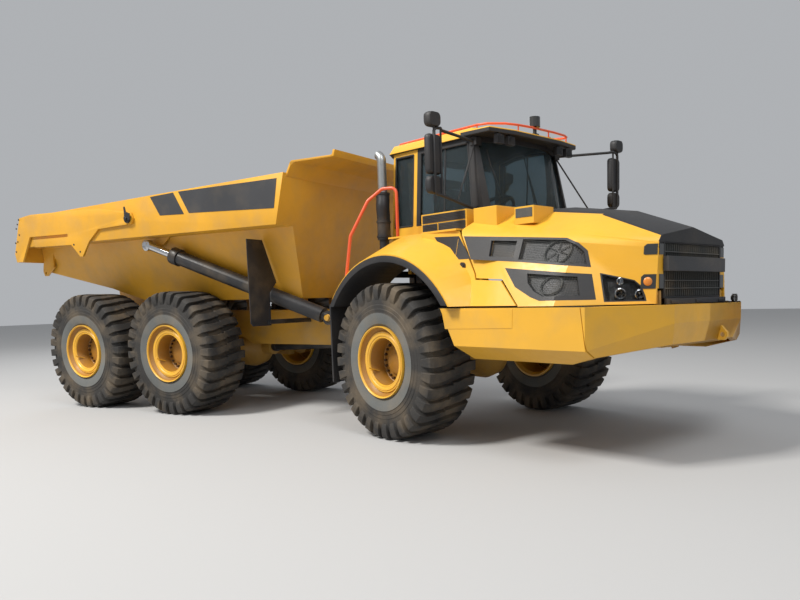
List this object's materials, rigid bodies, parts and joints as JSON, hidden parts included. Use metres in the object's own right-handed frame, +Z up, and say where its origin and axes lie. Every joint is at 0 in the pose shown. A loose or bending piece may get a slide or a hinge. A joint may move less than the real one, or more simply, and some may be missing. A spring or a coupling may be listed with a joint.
{
  "type": "articulated dump truck",
  "caption": "Articulated dump truck with a tipping body and overhung gate, a frame that steers at a hitch, a cab with a door, and a hood that tilts forward.",
  "frame": {"origin": "on the floor, under the middle of the box", "axes": "+X forward along the rear unit, +Y to its left, +Z up; the front unit is turned to the right at rest"},
  "size_m": [11.112, 4.2004, 3.6598],
  "materials": {
    "black_plastic": "moulded black",
    "cast": "painted casting",
    "chrome": "hard chrome",
    "dark_grey": "satin dark grey paint",
    "dark_steel": "satin black paint",
    "glass": "tinted clear",
    "lamp": "clear lens",
    "mirror_black": "satin black",
    "red_rail": "satin signal red",
    "rim_yellow": "satin yellow",
    "seat": "woven",
    "tyre": "dusty rubber",
    "yellow": "satin machinery yellow",
    "yellow_body": "satin machinery yellow, worn inside"
  },
  "bodies": {
    "rear_unit": {"rear_frame": "yellow_body", "middle_axle": "yellow_body", "rear_axle": "yellow_body", "bogie_beams": "yellow_body", "propshafts": "dark_steel", "side_guards": "dark_steel"},
    "hitch": {"hitch": "cast"},
    "front_unit": {"front_frame": "yellow_body", "front_axle": "yellow_body", "engine_block": "cast", "bumper": "yellow", "side_skirts": "yellow", "fender_left": "yellow", "fender_right": "yellow", "fender_liners": "black_plastic", "cab_shell": "yellow", "cab_roof": "dark_grey", "cab_glass": "glass", "operator_seat": "seat", "dashboard": "black_plastic", "mirrors": "mirror_black", "handrails": "red_rail", "roof_rail": "red_rail", "roof_lights": "lamp", "exhaust": "dark_steel"},
    "hood": {"hood": "yellow", "hood_grille": "dark_grey", "hood_vents": "dark_grey", "headlamps": "lamp"},
    "cab_door": {"cab_door": "yellow", "door_glass": "glass"},
    "dump_body": {"dump_body": "yellow_body"},
    "tailgate": {"tailgate": "yellow_body"},
    "wheel_front_left": {"rim_front_left": "rim_yellow", "tyre_front_left": "tyre"},
    "wheel_front_right": {"rim_front_right": "rim_yellow", "tyre_front_right": "tyre"},
    "wheel_middle_left": {"rim_middle_left": "rim_yellow", "tyre_middle_left": "tyre"},
    "wheel_middle_right": {"rim_middle_right": "rim_yellow", "tyre_middle_right": "tyre"},
    "wheel_rear_left": {"rim_rear_left": "rim_yellow", "tyre_rear_left": "tyre"},
    "wheel_rear_right": {"rim_rear_right": "rim_yellow", "tyre_rear_right": "tyre"},
    "hoist_barrel_left": {"hoist_barrel_left": "dark_steel"},
    "hoist_rod_left": {"hoist_rod_left": "chrome"},
    "hoist_barrel_right": {"hoist_barrel_right": "dark_steel"},
    "hoist_rod_right": {"hoist_rod_right": "chrome"},
    "steering_barrel_left": {"steering_barrel_left": "dark_steel"},
    "steering_rod_left": {"steering_rod_left": "chrome"},
    "steering_barrel_right": {"steering_barrel_right": "dark_steel"},
    "steering_rod_right": {"steering_rod_right": "chrome"}
  },
  "joints": [
    {"name": "hitch_roll", "type": "hinge", "parent": "rear_unit", "child": "hitch", "pos_m": [0.68308, 0.40017, 1.18], "axis": [1, 0, 0], "range_deg": [-12, 12]},
    {"name": "steer", "type": "hinge", "parent": "hitch", "child": "front_unit", "pos_m": [1.18308, 0.40017, 1.18], "axis": [0, 0, 1], "range_deg": [-28.3, 61.7]},
    {"name": "wheel_front_left_spin", "type": "hinge", "parent": "front_unit", "child": "wheel_front_left", "pos_m": [2.78649, 1.29725, 0.89], "axis": [0.2874, 0.9578, 0], "continuous": true},
    {"name": "wheel_front_right_spin", "type": "hinge", "parent": "front_unit", "child": "wheel_front_right", "pos_m": [2.02786, -1.2314, 0.89], "axis": [0.2874, 0.9578, 0], "continuous": true},
    {"name": "wheel_middle_left_spin", "type": "hinge", "parent": "rear_unit", "child": "wheel_middle_left", "pos_m": [-2.05392, 1.72017, 0.89], "axis": [0, 1, 0], "continuous": true},
    {"name": "wheel_middle_right_spin", "type": "hinge", "parent": "rear_unit", "child": "wheel_middle_right", "pos_m": [-2.05392, -0.91983, 0.89], "axis": [0, 1, 0], "continuous": true},
    {"name": "wheel_rear_left_spin", "type": "hinge", "parent": "rear_unit", "child": "wheel_rear_left", "pos_m": [-3.99392, 1.72017, 0.89], "axis": [0, 1, 0], "continuous": true},
    {"name": "wheel_rear_right_spin", "type": "hinge", "parent": "rear_unit", "child": "wheel_rear_right", "pos_m": [-3.99392, -0.91983, 0.89], "axis": [0, 1, 0], "continuous": true},
    {"name": "tip", "type": "hinge", "parent": "rear_unit", "child": "dump_body", "pos_m": [-4.44392, 0.40017, 1.39], "axis": [0, -1, 0], "range_deg": [0, 70]},
    {"name": "gate", "type": "hinge", "parent": "dump_body", "child": "tailgate", "pos_m": [-2.63792, 0.40017, 2.83], "axis": [0, 1, 0], "range_deg": [0, 42]},
    {"name": "hood_hinge", "type": "hinge", "parent": "front_unit", "child": "hood", "pos_m": [5.18103, -0.79927, 1.592], "axis": [0.2874, 0.9578, 0], "range_deg": [0, 80]},
    {"name": "door_hinge", "type": "hinge", "parent": "front_unit", "child": "cab_door", "pos_m": [2.37175, 0.98319, 2.59], "axis": [0, 0, 1], "range_deg": [0, 75]},
    {"name": "hoist_barrel_left_hinge", "type": "hinge", "parent": "rear_unit", "child": "hoist_barrel_left", "pos_m": [0.37608, 1.34017, 1.365], "axis": [0.3871, 0.4779, 0.7885], "range_deg": [0, 5.07]},
    {"name": "hoist_rod_left_slide", "type": "slide", "parent": "hoist_barrel_left", "child": "hoist_rod_left", "axis": [-0.9215, 0.1724, 0.3479], "range_m": [0, 2.5054]},
    {"name": "hoist_barrel_right_hinge", "type": "hinge", "parent": "rear_unit", "child": "hoist_barrel_right", "pos_m": [0.37608, -0.53983, 1.365], "axis": [-0.3871, 0.4779, -0.7885], "range_deg": [0, 5.07]},
    {"name": "hoist_rod_right_slide", "type": "slide", "parent": "hoist_barrel_right", "child": "hoist_rod_right", "axis": [-0.9215, -0.1724, 0.3479], "range_m": [0, 2.5054]},
    {"name": "steering_barrel_left_hinge", "type": "hinge", "parent": "front_unit", "child": "steering_barrel_left", "pos_m": [2.25201, 0.66414, 0.815], "axis": [0, 0, 1], "range_deg": [-8.66, 3.98]},
    {"name": "steering_rod_left_slide", "type": "slide", "parent": "steering_barrel_left", "child": "steering_rod_left", "axis": [-0.9983, 0.0576, 0], "range_m": [-0.3887, 0.1788]},
    {"name": "steering_barrel_right_hinge", "type": "hinge", "parent": "front_unit", "child": "steering_barrel_right", "pos_m": [1.93017, -0.40862, 0.815], "axis": [0, 0, 1], "range_deg": [-8.66, 3.98]},
    {"name": "steering_rod_right_slide", "type": "slide", "parent": "steering_barrel_right", "child": "steering_rod_right", "axis": [-0.905, 0.4255, 0], "range_m": [-0.1763, 0.3833]}
  ],
  "couplings": [
    {"joint": "gate", "follows": "tip", "ratio": 0.6},
    {"joint": "hoist_barrel_left_hinge", "follows": "tip", "ratio": 0.072227},
    {"joint": "hoist_rod_left_slide", "follows": "tip", "m_per_rad": 2.0499},
    {"joint": "hoist_barrel_right_hinge", "follows": "tip", "ratio": 0.072227},
    {"joint": "hoist_rod_right_slide", "follows": "tip", "m_per_rad": 2.0499},
    {"joint": "steering_barrel_left_hinge", "follows": "steer", "ratio": -0.14},
    {"joint": "steering_rod_left_slide", "follows": "steer", "m_per_rad": -0.36},
    {"joint": "steering_barrel_right_hinge", "follows": "steer", "ratio": -0.14},
    {"joint": "steering_rod_right_slide", "follows": "steer", "m_per_rad": 0.355}
  ]
}
